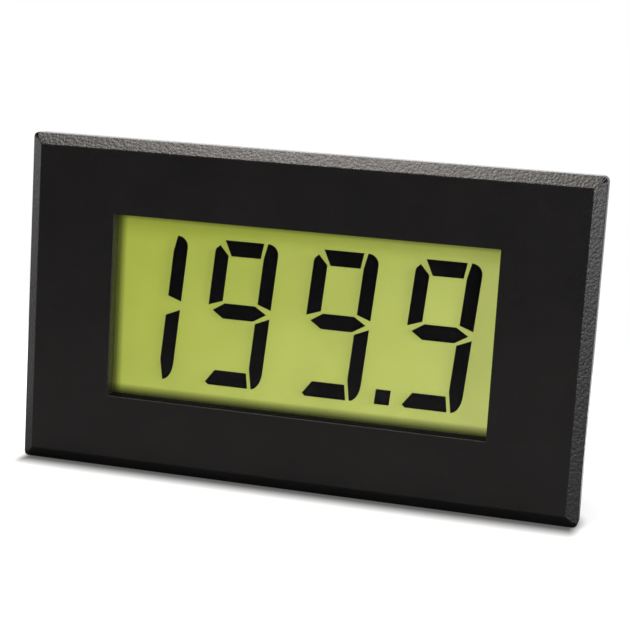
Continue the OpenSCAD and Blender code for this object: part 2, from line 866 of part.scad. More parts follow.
module chip_capacitor_ends()
    color([0.78, 0.78, 0.78])
        at_places(capacitor_places)
            chip_part_ends(chip_cap_h);

// ---------------------------------------------------------------- trimmer

trimmer_top_y = board_back_y + trimmer_h;
rotor_y = trimmer_top_y - rotor_h;

module trimmer_body()
    color([0.1, 0.25, 0.55])
        translate([trimmer_x, 0, trimmer_z])
            difference() {
                union() {
                    slab(board_back_y + 0.4, trimmer_top_y)
                        rounded_rect(trimmer_w, trimmer_w, 0.3);
                    corners(trimmer_w / 2 - 0.6, trimmer_w / 2 - 0.6)
                        slab(board_back_y, board_back_y + 0.5)
                            square([0.9, 0.9], center = true);
                }
                rod(rotor_r + rotor_gap, rotor_y, trimmer_top_y + cut);
            }

module trimmer_rotor()
    color([0.92, 0.92, 0.88])
        translate([trimmer_x, 0, trimmer_z])
            difference() {
                rod(rotor_r, rotor_y + rotor_gap, trimmer_top_y - 0.1);
                slab(trimmer_top_y - 0.8, trimmer_top_y + cut) {
                    square([rotor_r * 1.7, 0.6], center = true);
                    polygon([[rotor_r * 0.85, 0], [rotor_r * 0.45, 0.6], [rotor_r * 0.45, -0.6]]);
                }
            }

module trimmer_pins()
    color([0.75, 0.75, 0.76])
        trimmer_pin_places()
            rod(lead_r, board_y - pin_tail, board_back_y + 0.4);

// ---------------------------------------------------------------- connector and link

// carrier cell of one pin, notched between cells
module carrier_cell(rows)
    difference() {
        slab(board_back_y, board_back_y + carrier_h)
            square([pin_pitch, rows * pin_pitch], center = true);
        for (sx = [-1, 1])
            for (sz = [-1, 1])
                translate([sx * pin_pitch / 2, board_back_y + carrier_h / 2, sz * rows * pin_pitch / 2])
                    rotate([0, 45, 0])
                        cube([0.7, carrier_h + cut, 0.7], center = true);
    }

module pin_hole(y0, y1)
    slab(y0, y1)
        square(pin_w, center = true);

module pin_solid()
    intersection() {
        slab(board_y - pin_tail, board_back_y + carrier_h + pin_len)
            square(pin_w, center = true);
        tall(-pin_w, pin_w)
            polygon(mirrored([[pin_w / 2, board_y - pin_tail],
                              [pin_w / 2, board_back_y + carrier_h + pin_len - 0.4],
                              [pin_w / 4, board_back_y + carrier_h + pin_len]]));
        wide(-pin_w, pin_w)
            polygon(swapped(mirrored([[pin_w / 2, board_y - pin_tail],
                                      [pin_w / 2, board_back_y + carrier_h + pin_len - 0.4],
                                      [pin_w / 4, board_back_y + carrier_h + pin_len]])));
    }

module connector_carrier()
    color([0.1, 0.1, 0.1])
        difference() {
            connector_places()
                carrier_cell(1);
            connector_places()
                pin_hole(board_back_y - cut, board_back_y + carrier_h + cut);
        }

module connector_pins()
    color([0.83, 0.68, 0.32])
        connector_places()
            pin_solid();

module link_carrier()
    color([0.1, 0.1, 0.1])
        difference() {
            for (i = [0:link_rows - 1])
                translate([link_x, 0, link_z + (i - (link_rows - 1) / 2) * pin_pitch])
                    pin_row(2)
                        carrier_cell(1);
            link_places()
                pin_hole(board_back_y - cut, board_back_y + carrier_h + cut);
        }

module link_pins()
    color([0.83, 0.68, 0.32])
        link_places()
            pin_solid();

module link_cap()
    color([0.12, 0.12, 0.13])
        translate([link_x, 0, link_z])
            difference() {
                slab(board_back_y + carrier_h, board_back_y + carrier_h + link_h)
                    rounded_rect(2 * pin_pitch - 0.1, pin_pitch - 0.2, 0.3);
                pin_row(2)
                    pin_hole(board_back_y + carrier_h - cut, board_back_y + carrier_h + link_h + cut);
                slab(board_back_y + carrier_h + link_h - 1.2, board_back_y + carrier_h + link_h + cut)
                    square([2 * pin_pitch - 1.4, pin_pitch - 1.2], center = true);
            }

bezel();
front_polariser();
front_glass();
display_segments();
cell_seal();
rear_glass();
rear_polariser();
light_guide();
reflector_tray();
backlight_lamps();
lamp_leads();
upper_contact_strip();
lower_contact_strip();
circuit_board();
board_screws();
converter_chip();
converter_leads();
film_capacitors();
film_capacitor_leads();
supply_capacitor();
supply_capacitor_base();
chip_resistors();
chip_resistor_ends();
chip_capacitors();
chip_capacitor_ends();
trimmer_body();
trimmer_rotor();
trimmer_pins();
connector_carrier();
connector_pins();
link_carrier();
link_pins();
link_cap();
clip_left();
clip_right();
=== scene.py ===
"""Looks for a snap-in panel meter with a seven-bar display: finishes, solder work and studio."""

import math

import bmesh
import bpy
from mathutils import Matrix, Quaternion, Vector


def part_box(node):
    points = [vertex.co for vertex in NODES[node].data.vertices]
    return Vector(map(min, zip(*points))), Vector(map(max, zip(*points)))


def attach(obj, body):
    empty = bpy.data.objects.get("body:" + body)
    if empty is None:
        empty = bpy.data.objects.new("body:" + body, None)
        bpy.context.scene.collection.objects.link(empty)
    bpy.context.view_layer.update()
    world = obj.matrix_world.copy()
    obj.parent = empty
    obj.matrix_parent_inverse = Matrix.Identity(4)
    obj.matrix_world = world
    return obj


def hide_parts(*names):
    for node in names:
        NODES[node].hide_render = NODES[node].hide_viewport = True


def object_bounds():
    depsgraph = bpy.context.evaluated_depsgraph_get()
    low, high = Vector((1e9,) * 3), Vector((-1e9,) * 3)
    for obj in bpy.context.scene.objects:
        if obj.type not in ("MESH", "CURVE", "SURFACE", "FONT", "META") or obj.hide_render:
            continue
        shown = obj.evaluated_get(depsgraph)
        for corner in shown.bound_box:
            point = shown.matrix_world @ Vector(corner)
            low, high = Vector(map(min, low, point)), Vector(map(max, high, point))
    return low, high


bl_info = {
    "name": "Panel Meter Looks",
    "version": (1, 0, 0),
    "blender": (4, 5, 0),
    "location": "View3D > Sidebar > Panel Meter",
    "description": "Finishes, solder work and studio for a snap-in panel meter",
    "category": "Object",
}

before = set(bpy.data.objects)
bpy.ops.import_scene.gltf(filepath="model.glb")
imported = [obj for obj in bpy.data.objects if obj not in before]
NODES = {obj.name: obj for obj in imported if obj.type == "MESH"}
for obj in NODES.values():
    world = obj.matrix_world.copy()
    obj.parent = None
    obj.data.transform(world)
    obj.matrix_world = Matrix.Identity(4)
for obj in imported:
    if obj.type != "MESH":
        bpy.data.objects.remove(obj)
CAD_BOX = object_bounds()
MM = 0.001
AXES = range(3)
BLACK = (0.0, 0.0, 0.0)
CORNER_RISE = 1.06  # how much higher the corners of tracks and printed lines are than their runs
SHARP = math.radians(32)  # edges between faces that turn by more than this are rounded
FRONT_FADE = 20 * MM  # how far behind the panel's front the dim room before the meter ends


# ---------------------------------------------------------------- colours


def paint(red, green, blue):
    """A display colour, 0 to 255, as the linear colour that shaders and properties use."""

    def linear(code):
        part = code / 255
        return part / 12.92 if part <= 0.04045 else ((part + 0.055) / 1.055) ** 2.4

    return (linear(red), linear(green), linear(blue))


def shade(tone, factor):
    """The colour made darker, below 1, or lighter, above 1."""
    return tuple(min(1.0, part * factor) for part in tone)


# ---------------------------------------------------------------- settings


def length(name, description, millimetres, least=0.0):
    """A length in metres, with its default given in millimetres."""
    return bpy.props.FloatProperty(
        name=name,
        description=description,
        default=millimetres * MM,
        min=least,
        precision=5,
        unit="LENGTH",
        subtype="DISTANCE",
    )


def angle(name, description, degrees):
    """An angle in radians, with its default given in degrees."""
    return bpy.props.FloatProperty(
        name=name,
        description=description,
        default=math.radians(degrees),
        unit="ROTATION",
        subtype="ANGLE",
    )


def share(name, description, value, top=1.0):
    """A plain number from 0 to top."""
    return bpy.props.FloatProperty(
        name=name, description=description, default=value, min=0.0, max=top
    )


def colour(name, description, red, green, blue):
    """A linear colour, with its default given as a display colour."""
    return bpy.props.FloatVectorProperty(
        name=name,
        description=description,
        default=paint(red, green, blue),
        size=3,
        min=0.0,
        max=1.0,
        subtype="COLOR",
    )


class CaseSettings(bpy.types.PropertyGroup):
    """The moulded bezel and the two clips that hold it in a panel."""

    plastic: colour("Bezel", "Colour of the bezel's black plastic", 15, 14, 14)
    clip_plastic: colour("Clips", "Colour of the clips' black nylon", 31, 31, 32)
    bezel_edge: length("Bezel Edge", "Radius that rounds the bezel's edges", 0.09)
    clip_edge: length("Clip Edge", "Radius that rounds the clips' edges", 0.06)
    grain: length("Grain", "Width of the grains of the bezel's eroded texture", 0.3)
    grain_depth: length("Grain Depth", "Height of the grains", 0.022)


class DisplaySettings(bpy.types.PropertyGroup):
    """The cell, its films and the light behind it."""

    window_w: length("Window Width", "Width of the opening in the bezel", 39.9)
    window_h: length("Window Height", "Height of the opening in the bezel", 19.0)
    # painted light: the glow runs from the dim side to the bright side, whose paler tint is a
    # painted reflection of the white surroundings
    dim_side: colour("Dim Side", "Glow at the left of the window", 182, 191, 80)
    bright_side: colour("Bright Side", "Glow at the lower right of the window", 206, 211, 126)
    # painted shadow: how far the film's glow fades under the bezel's edge
    edge_shadow: length("Edge Fade", "How far the glow takes to fade out under the bezel", 1.0)
    lip_shade: length("Lip Shade", "How far the window's upper edge shades the film", 2.8)
    # painted light: the rear film itself glows, in place of the light that reaches it
    glow: share("Glow", "Strength of the lamps behind the film", 0.85)
    ink: colour("Ink", "Colour of the dark bars of the digits", 5, 4, 9)
    film: colour("Front Film", "Tint of the polarising film in front", 246, 247, 243)
    glass: colour("Glass", "Tint of the two glass plates", 253, 254, 253)
    # painted shade: the seal is given a dark colour because it lies in the shade under the bezel's
    # edge
    seal: colour("Seal", "Colour of the epoxy between the plates", 34, 34, 26)
    guide: colour("Light Guide", "Colour of the clear acrylic", 222, 232, 206)
    tray: colour("Tray", "Colour of the white reflector", 238, 237, 230)
    lamp: colour("Lamps", "Colour of the lamps' clear epoxy", 236, 238, 190)
    rubber: colour("Contact Strips", "Colour of the rubber contact strips", 44, 44, 47)


class BoardSettings(bpy.types.PropertyGroup):
    """The circuit board and the work on its back."""

    mask: colour("Mask", "Colour of the solder mask over bare laminate", 16, 78, 46)
    track: colour("Tracks", "Colour of the mask where copper lies under it", 30, 112, 62)
    legend: colour("Legend", "Colour of the printed outlines", 226, 228, 220)
    track_w: length("Track Width", "Width of the copper tracks", 0.28)
    track_t: length("Track Height", "How far a track stands out of the mask", 0.03)
    via_r: length("Via Radius", "Radius of the round ends of the chip's short tracks", 0.3)
    pad_rim: length("Pad Rim", "How far a pad runs past the end on it", 0.22)
    toe: length("Soldered Toe", "How much of a chip lead's end is soldered", 0.55)
    fillet_h: length("Fillet Height", "How far solder climbs up a lead", 0.3)
    solder: colour("Solder", "Colour of tin and solder", 196, 198, 202)
    legend_w: length("Legend Width", "Width of the printed lines", 0.14)
    legend_t: length("Legend Height", "How far the print stands out of the mask", 0.02)
    legend_gap: length("Legend Gap", "Room between a part and the outline round it", 0.45)


class PartSettings(bpy.types.PropertyGroup):
    """The parts on the board."""

    chip: colour("Chip", "Colour of the converter's moulding", 30, 30, 32)
    resistor: colour("Chip Resistors", "Colour of their glaze", 20, 20, 22)
    film_capacitor: colour("Film Capacitors", "Colour of their cases", 150, 44, 24)
    can: colour("Can", "Colour of the supply capacitor's can", 202, 204, 208)
    ceramic: colour("Ceramic", "Colour of the chip capacitors", 168, 140, 104)
    trimmer: colour("Trimmer", "Colour of the trimmer's case", 26, 84, 158)
    rotor: colour("Rotor", "Colour of the trimmer's turning screw", 232, 230, 220)
    gold: colour("Gold", "Colour of the plated pins", 226, 184, 96)
    carrier: colour("Carriers", "Colour of the pin strips", 26, 26, 27)
    link: colour("Link", "Colour of the link that sits on two pins", 24, 52, 122)
    screw: colour("Screws", "Colour of the board screws", 178, 180, 184)
    small_edge: length("Small Edge", "Radius that rounds the edges of small parts", 0.06)


class StageSettings(bpy.types.PropertyGroup):
    """Camera, lights and floor."""

    azimuth: angle("Azimuth", "Turn of the camera to the meter's right", 14.78)
    elevation: angle("Elevation", "Height of the camera above level", 9.54)
    roll: angle("Roll", "Lean of the camera about its own line of sight", -3.5)
    distance: length("Distance", "From the camera to the bezel's face", 160.8)
    aim_x: length("Aim Right", "Where the camera looks, right of the middle", 1.9, least=-1.0)
    aim_z: length("Aim Up", "Where the camera looks, above the middle", 1.27, least=-1.0)
    lens: bpy.props.FloatProperty(
        name="Lens",
        description="Focal length of the camera",
        default=92.1,
        min=10.0,
        unit="CAMERA",
    )
    room: share("Room", "Strength of the light that comes from all round", 0.42)
    room_front: share("Room Front", "What glossy faces see of the room before the meter", 0.06)
    key: share("Key", "Power of the soft box above", 1.5, 100.0)
    warmth: colour("Warmth", "Colour of the soft box above", 255, 249, 243)
    right: share("Right", "Power of the soft box at the right", 1.15, 100.0)
    left: share("Left", "Power of the soft box at the left", 0.3, 100.0)
    back: share("Back", "Power of the soft box behind", 0.55, 100.0)
    far: length("Lamp Distance", "From the meter's middle to each soft box", 300.0)
    floor_r: length("Floor", "Radius of the floor", 400.0)
    floor_lift: share("Floor Lift", "Glow that keeps the floor white where it is lit", 0.84)
    contact: length("Contact", "How far the shadow at the bezel's foot reaches", 5.5)
    contact_side: length("Contact Side", "How far that shadow reaches past each end", 2.2)


GROUPS = {
    "meter_case": CaseSettings,
    "meter_display": DisplaySettings,
    "meter_board": BoardSettings,
    "meter_parts": PartSettings,
    "meter_stage": StageSettings,
}


# ---------------------------------------------------------------- finishes


def new_finish(name):
    finish = bpy.data.materials.new(name)
    finish.use_nodes = True
    tree = finish.node_tree
    return finish, tree, tree.nodes["Principled BSDF"]


def object_point(tree, move=(0, 0, 0), stretch=(1, 1, 1)):
    """A point on the piece in metres, moved and stretched."""
    where = tree.nodes.new("ShaderNodeTexCoord")
    mapping = tree.nodes.new("ShaderNodeMapping")
    mapping.inputs["Location"].default_value = move
    mapping.inputs["Scale"].default_value = stretch
    tree.links.new(where.outputs["Object"], mapping.inputs["Vector"])
    return mapping.outputs["Vector"]


def mottle(tree, size, detail=3.0, stretch=(1, 1, 1)):
    """Cloudy noise whose patches are about size across, in metres."""
    noise = tree.nodes.new("ShaderNodeTexNoise")
    noise.inputs["Scale"].default_value = 1 / size
    noise.inputs["Detail"].default_value = detail
    tree.links.new(object_point(tree, stretch=stretch), noise.inputs["Vector"])
    return noise.outputs["Fac"]


def grains(tree, size):
    """Round grains about size across, high in their middles."""
    cells = tree.nodes.new("ShaderNodeTexVoronoi")
    cells.feature = "SMOOTH_F1"
    cells.inputs["Scale"].default_value = 1 / size
    cells.inputs["Smoothness"].default_value = 0.6
    tree.links.new(object_point(tree), cells.inputs["Vector"])
    return cells.outputs["Distance"]


def spread(tree, value, low, high, start=0.3, stop=0.7, smooth=False):
    """value from start to stop becomes low to high."""
    span = tree.nodes.new("ShaderNodeMapRange")
    span.interpolation_type = "SMOOTHSTEP" if smooth else "LINEAR"
    span.inputs["From Min"].default_value = start
    span.inputs["From Max"].default_value = stop
    span.inputs["To Min"].default_value = low
    span.inputs["To Max"].default_value = high
    tree.links.new(value, span.inputs["Value"])
    return span.outputs["Result"]


def reckon(tree, operation, *values):
    """A Math node on sockets or plain numbers."""
    maths = tree.nodes.new("ShaderNodeMath")
    maths.operation = operation
    for slot, value in zip(maths.inputs, values):
        if isinstance(value, (int, float)):
            slot.default_value = value
        else:
            tree.links.new(value, slot)
    return maths.outputs["Value"]


def weighed_sum(tree, *terms):
    """The sum of some values, each times its weight."""
    first, *rest = [reckon(tree, "MULTIPLY", value, weight) for value, weight in terms]
    for term in rest:
        first = reckon(tree, "ADD", first, term)
    return first


def axes_of(tree, point):
    """The X, Y and Z outputs of a point."""
    apart = tree.nodes.new("ShaderNodeSeparateXYZ")
    tree.links.new(point, apart.inputs["Vector"])
    return apart.outputs


def mix_shaders(tree, value, first, second):
    """A surface from first, where value is 0, to second."""
    mix = tree.nodes.new("ShaderNodeMixShader")
    for slot, source in zip(mix.inputs, (value, first, second)):
        tree.links.new(source, slot)
    return mix.outputs["Shader"]


def white_glow(tree, strength):
    """A plain white light from a surface."""
    glow = tree.nodes.new("ShaderNodeEmission")
    tree.links.new(strength, glow.inputs["Strength"])
    return glow.outputs["Emission"]


def blend_colours(tree, value, first, second):
    """A colour from first, where value is 0, to second. Each is a colour or a socket."""
    mix = tree.nodes.new("ShaderNodeMix")
    mix.data_type = "RGBA"
    tree.links.new(value, mix.inputs[0])
    for slot, tone in ((mix.inputs[6], first), (mix.inputs[7], second)):
        if isinstance(tone, bpy.types.NodeSocket):
            tree.links.new(tone, slot)
        else:
            slot.default_value = (*tone, 1.0)
    return mix.outputs[2]


def relief(tree, shader, height, depth):
    """height as a bump, depth metres from low to high."""
    bump = tree.nodes.new("ShaderNodeBump")
    bump.inputs["Distance"].default_value = depth
    tree.links.new(height, bump.inputs["Height"])
    tree.links.new(bump.outputs["Normal"], shader.inputs["Normal"])


def clouded(name, tone, *, patch, change, rough, fine, depth, metal=0.0, gloss=0.5, coat=0.0):
    """A finish for plastic, ceramic or metal: cloudy colour, uneven gloss and a fine surface.

    patch and fine are the widths, in millimetres, of the colour's patches and of the surface's
    unevenness, and depth is the height of the unevenness. change is how far the colour moves each
    way, and rough is the lowest and the highest roughness.
    """
    finish, tree, shader = new_finish(name)
    patches = spread(tree, mottle(tree, patch * MM), 0, 1)
    dark, light = (shade(tone, part) for part in (1 - change, 1 + change))
    unevenness = mottle(tree, fine * MM, detail=4.0)
    tree.links.new(blend_colours(tree, patches, dark, light), shader.inputs["Base Color"])
    tree.links.new(spread(tree, unevenness, *rough), shader.inputs["Roughness"])
    relief(tree, shader, unevenness, depth * MM)
    shader.inputs["Metallic"].default_value = metal
    shader.inputs["Specular IOR Level"].default_value = gloss
    shader.inputs["Coat Weight"].default_value = coat
    return finish


def eroded_plastic(case):
    """Black plastic from a spark-eroded mould: fine round grains that catch the light, and lighter
    specks painted on as glints.
    """
    finish, tree, shader = new_finish("bezel_black")
    grain = grains(tree, case.grain)
    fine = mottle(tree, case.grain / 3, detail=2.0)
    height = reckon(tree, "ADD", grain, reckon(tree, "MULTIPLY", fine, 0.5))
    patches = spread(tree, mottle(tree, 4 * MM), 0, 1)
    dark, light, glint_tone = (shade(case.plastic, part) for part in (0.86, 1.14, 1.9))
    tone = blend_colours(tree, patches, dark, light)
    # painted glints: lighter specks where the grains would catch the light
    glint_speck = spread(tree, fine, 0, 1, start=0.55, stop=0.75)
    tone = blend_colours(tree, glint_speck, tone, glint_tone)
    tree.links.new(tone, shader.inputs["Base Color"])
    rough = spread(tree, grain, 0.28, 0.38, start=0.1, stop=0.6)
    tree.links.new(rough, shader.inputs["Roughness"])
    relief(tree, shader, height, case.grain_depth)
    shader.inputs["Specular IOR Level"].default_value = 0.3
    return finish


def bezel_shadow_fades(tree, axes, display):
    """Painted shadow of the bezel on the film: what is left of the glow towards the window's sides,
    and towards its top and bottom.
    """
    fades = []
    # the painted shadow runs from inside to outside the window's edge, both in shares of the edge's
    # shadow width
    for axis, half, inside, outside, least, bend in (
        ("X", display.window_w / 2, 0.3, 0.5, 0.2, 1.0),
        ("Z", display.window_h / 2, 0.76, 0.29, 0.25, 2.0),
    ):
        start = half - inside * display.edge_shadow
        stop = half + outside * display.edge_shadow
        fade = spread(tree, reckon(tree, "ABSOLUTE", axes[axis]), 1, least, start, stop)
        fades.append(reckon(tree, "POWER", fade, bend))
    return fades


def glowing_film(display):
    """The rear film: yellow-green, lit through from behind as painted light, since the film itself
    glows, and darkened by painted shadow where the bezel covers it and under the window's upper
    edge.
    """
    finish, tree, shader = new_finish("rear_film_glow")
    axes = axes_of(tree, object_point(tree))
    top = display.window_h / 2
    # painted shadow of the window's upper edge on the film
    lip_shadow = spread(tree, axes["Z"], 1, 0.72, top - display.lip_shade, top, True)
    # painted light: the film brightens to the right and downwards, from the dim side to the bright
    # side
    rightward, upward, cloudy, unshaded = 0.8, -0.3, 0.24, 1.2  # how much each brightens the film
    brightness = weighed_sum(
        tree,
        (axes["X"], rightward / display.window_w),
        (axes["Z"], upward / display.window_h),
        (mottle(tree, 5 * MM), cloudy),
        (lip_shadow, unshaded),
    )
    dimmest, brightest = 0.8, 1.84
    toward = spread(tree, brightness, 0, 1, dimmest, brightest)
    tone = blend_colours(tree, toward, display.dim_side, display.bright_side)
    # painted shadow of the bezel over the film's edges
    out_of_bezel_shadow = reckon(tree, "MULTIPLY", *bezel_shadow_fades(tree, axes, display))
    lit = reckon(tree, "MULTIPLY", out_of_bezel_shadow, lip_shadow)
    unlit = (0.006, 0.007, 0.002)
    tree.links.new(blend_colours(tree, lit, unlit, tone), shader.inputs["Emission Color"])
    reflected = blend_colours(tree, lit, BLACK, shade(display.dim_side, 0.3))
    tree.links.new(reflected, shader.inputs["Base Color"])
    shader.inputs["Emission Strength"].default_value = display.glow
    tree.links.new(spread(tree, mottle(tree, 0.2 * MM), 0.5, 0.62), shader.inputs["Roughness"])
    shader.inputs["Specular IOR Level"].default_value = 0.2
    return finish


def clear_sheet(name, tint, index, rough):
    """A thin clear sheet: what is behind shows through, and light glances off it."""
    finish, tree, shader = new_finish(name)
    tree.nodes.remove(shader)
    through = tree.nodes.new("ShaderNodeBsdfTransparent")
    veil = spread(tree, mottle(tree, 9 * MM), 0, 1)
    veiled = blend_colours(tree, veil, shade(tint, 0.98), shade(tint, 1.0))
    tree.links.new(veiled, through.inputs["Color"])
    glance = tree.nodes.new("ShaderNodeBsdfGlossy")
    unevenness = spread(tree, mottle(tree, 0.15 * MM), rough * 0.8, rough * 1.2)
    tree.links.new(unevenness, glance.inputs["Roughness"])
    fresnel = tree.nodes.new("ShaderNodeFresnel")
    fresnel.inputs["IOR"].default_value = index
    clear, gloss = through.outputs["BSDF"], glance.outputs["BSDF"]
    surface = mix_shaders(tree, fresnel.outputs["Fac"], clear, gloss)
    tree.links.new(surface, tree.nodes["Material Output"].inputs["Surface"])
    return finish


def laminate(board):
    """Green mask over glass cloth: the weave shows faintly under a glossy coat."""
    finish, tree, shader = new_finish("board_green")
    threads = []
    for direction in ("X", "Z"):
        wave = tree.nodes.new("ShaderNodeTexWave")
        wave.bands_direction = direction
        wave.inputs["Scale"].default_value = 1 / (6 * MM)
        wave.inputs["Distortion"].default_value = 0.6
        tree.links.new(object_point(tree), wave.inputs["Vector"])
        threads.append(wave.outputs["Fac"])
    weave = reckon(tree, "MAXIMUM", *threads)
    clouds = mottle(tree, 5 * MM)
    shown = reckon(tree, "MULTIPLY", weave, spread(tree, clouds, 0.2, 1))
    dark, light = (shade(board.mask, part) for part in (0.82, 1.18))
    tree.links.new(blend_colours(tree, shown, dark, light), shader.inputs["Base Color"])
    tree.links.new(spread(tree, clouds, 0.3, 0.42), shader.inputs["Roughness"])
    relief(tree, shader, weave, 0.004 * MM)
    return finish


def striped_can(parts):
    """A bright drawn can with a dark bar at its minus side."""
    finish, tree, shader = new_finish("can_bright")
    low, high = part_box("supply_capacitor")
    radius = (high.x - low.x) / 2
    bar_from, bar_to = -0.5 * radius, -0.46 * radius
    axes = axes_of(tree, object_point(tree, move=(-(low.x + high.x) / 2, 0, 0)))
    bar = spread(tree, axes["X"], 1, 0, bar_from, bar_to)
    clouds = spread(tree, mottle(tree, 0.8 * MM), 0, 1)
    bright = blend_colours(tree, clouds, shade(parts.can, 0.9), shade(parts.can, 1.0))
    tone = blend_colours(tree, bar, bright, parts.carrier)
    tree.links.new(tone, shader.inputs["Base Color"])
    tree.links.new(reckon(tree, "SUBTRACT", 1.0, bar), shader.inputs["Metallic"])
    drawn = mottle(tree, 0.5 * MM, stretch=(6, 0.6, 6))
    tree.links.new(spread(tree, drawn, 0.24, 0.4), shader.inputs["Roughness"])
    relief(tree, shader, drawn, 0.002 * MM)
    return finish


# ---------------------------------------------------------------- pieces


def dress(node, finish):
    """Gives a CAD node its finish."""
    mesh = NODES[node].data
    mesh.materials.clear()
    mesh.materials.append(finish)


def add_piece(name, mesh_work, finish, body, stands_for=()):
    """Turns a bmesh into a piece that rides on a body."""
    mesh = bpy.data.meshes.new(name)
    mesh_work.to_mesh(mesh)
    mesh_work.free()
    mesh.materials.append(finish)
    piece = bpy.data.objects.new(name, mesh)
    bpy.context.scene.collection.objects.link(piece)
    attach(piece, body)
    if stands_for:
        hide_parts(*stands_for)
    return piece


def merged(node):
    """A CAD node's mesh with its corners merged."""
    work = bmesh.new()
    work.from_mesh(NODES[node].data)
    bmesh.ops.remove_doubles(work, verts=work.verts, dist=0.002 * MM)
    for face in work.faces:
        face.smooth = True
    return work


def soften(node, finish, edge, body, name):
    """A piece that stands for a CAD node, the same but for its edges, which are rounded."""
    piece = add_piece(name, merged(node), finish, body, stands_for=(node,))
    old_normals = piece.data.attributes.get("custom_normal")
    if old_normals is not None:
        piece.data.attributes.remove(old_normals)
    rounding = piece.modifiers.new("rounded_edges", "BEVEL")
    rounding.width = edge
    rounding.segments = 2
    rounding.limit_method = "ANGLE"
    rounding.angle_limit = SHARP
    rounding.loop_slide = False
    rounding.use_clamp_overlap = False
    rounding.harden_normals = True
    return piece


def solids(node):
    """The separate solids of a CAD node, as pairs of their lowest and highest corners."""
    work = merged(node)
    left, boxes = set(work.verts), []
    while left:
        open_ends, points = [left.pop()], []
        while open_ends:
            corner = open_ends.pop()
            points.append(corner.co.copy())
            for edge in corner.link_edges:
                other = edge.other_vert(corner)
                if other in left:
                    left.remove(other)
                    open_ends.append(other)
        low = Vector([min(p[i] for p in points) for i in AXES])
        high = Vector([max(p[i] for p in points) for i in AXES])
        boxes.append((low, high))
    work.free()
    return sorted(boxes, key=lambda box: [round((box[0][i] + box[1][i]) / MM, 2) for i in AXES])


def middle(box):
    return (box[0] + box[1]) / 2


def slab(work, low, high):
    """A closed block between two corners."""
    size = high - low
    at = Matrix.Translation((low + high) / 2) @ Matrix.Diagonal((*size, 1))
    return bmesh.ops.create_cube(work, size=1, matrix=at)["verts"]


def disc(work, centre, low_r, high_r, height, sides=16):
    """A round or tapered disc that stands on centre and rises along +Y, from the board's back."""
    turn = Matrix.Rotation(math.radians(-90), 4, "X")
    at = Matrix.Translation(centre + Vector((0, height / 2, 0))) @ turn
    return bmesh.ops.create_cone(
        work, cap_ends=True, segments=sides, radius1=low_r, radius2=high_r, depth=height, matrix=at
    )["verts"]


def strip(work, start, stop, width, height):
    """A flat strip on the board's back between two points."""
    run = stop - start
    if run.length > 0:
        lean = Matrix.Rotation(-math.atan2(run.z, run.x), 4, "Y")
        centre = (start + stop) / 2 + Vector((0, height / 2, 0))
        at = Matrix.Translation(centre) @ lean @ Matrix.Diagonal((run.length, height, width, 1))
        bmesh.ops.create_cube(work, size=1, matrix=at)


def path(work, points, y, width, height):
    """A strip through points in (x, z). Its round corners are a hair higher, so no faces meet."""
    spots = [Vector((x, y, z)) for x, z in points]
    for start, stop in zip(spots, spots[1:]):
        strip(work, start, stop, width, height)
    for spot in spots[: -1 if points[0] == points[-1] else None]:
        disc(work, spot, width / 2, width / 2, height * CORNER_RISE, sides=10)


def outline(work, low, high, y, width, height):
    """A printed rectangle round a part."""
    corners = [(low.x, low.z), (high.x, low.z), (high.x, high.z), (low.x, high.z)]
    path(work, [*corners, corners[0]], y, width, height)


def elbow(start, stop):
    """The points of a track that leaves start straight and turns 45 degrees to reach stop."""
    across, along = stop[0] - start[0], stop[1] - start[1]
    if abs(across) > abs(along):
        return [start, (start[0] + math.copysign(along, across), stop[1]), stop]
    return [start, (start[0], stop[1] - math.copysign(across, along)), stop]


# ---------------------------------------------------------------- operators


class METER_OT_case(bpy.types.Operator):
    """Dress the bezel and the two clips"""

    bl_idname = "meter.case"
    bl_label = "Bezel and Clips"
    bl_options = {"REGISTER", "UNDO"}

    def execute(self, context):
        case = context.scene.meter_case
        moulding = soften(
            "bezel",
            eroded_plastic(case),
            case.bezel_edge,
            "meter",
            "bezel_moulding",
        )
        self.finish_sills(moulding.data, case, context.scene.meter_display)
        nylon = clouded(
            "clip_black", case.clip_plastic,
            patch=3, change=0.2, rough=(0.42, 0.6), fine=0.12, depth=0.006,
        )
        for side in ("left", "right"):
            node, body = f"clip_{side}", f"{side}_clip"
            soften(node, nylon, case.clip_edge, body, f"panel_{node}")
        return {"FINISHED"}

    def finish_sills(self, mesh, case, display):
        """The window's upper and lower walls are left matt, so that they don't mirror the film, and
        painted darker than the bezel as painted shade.
        """
        # painted shade: the sills are half as bright as the bezel's plastic
        dark = shade(case.plastic, 0.5)
        sill = clouded(
            "window_sill_matt_painted_shade", dark,
            patch=2, change=0.1, rough=(0.8, 0.95), fine=0.4, depth=0.001, gloss=0.03,
        )
        moulded = mesh.materials[0]
        mesh.materials.clear()
        for finish in (sill, moulded):  # a rounded edge takes the first finish of its two faces
            mesh.materials.append(finish)
        slack = 0.01 * MM
        half_w, half_h = display.window_w / 2 + slack, display.window_h / 2 + slack
        for face in mesh.polygons:
            at = face.center
            inside = abs(at.x) < half_w and abs(at.z) < half_h and at.y < 0
            face.material_index = 0 if inside and abs(face.normal.z) > 0.5 else 1


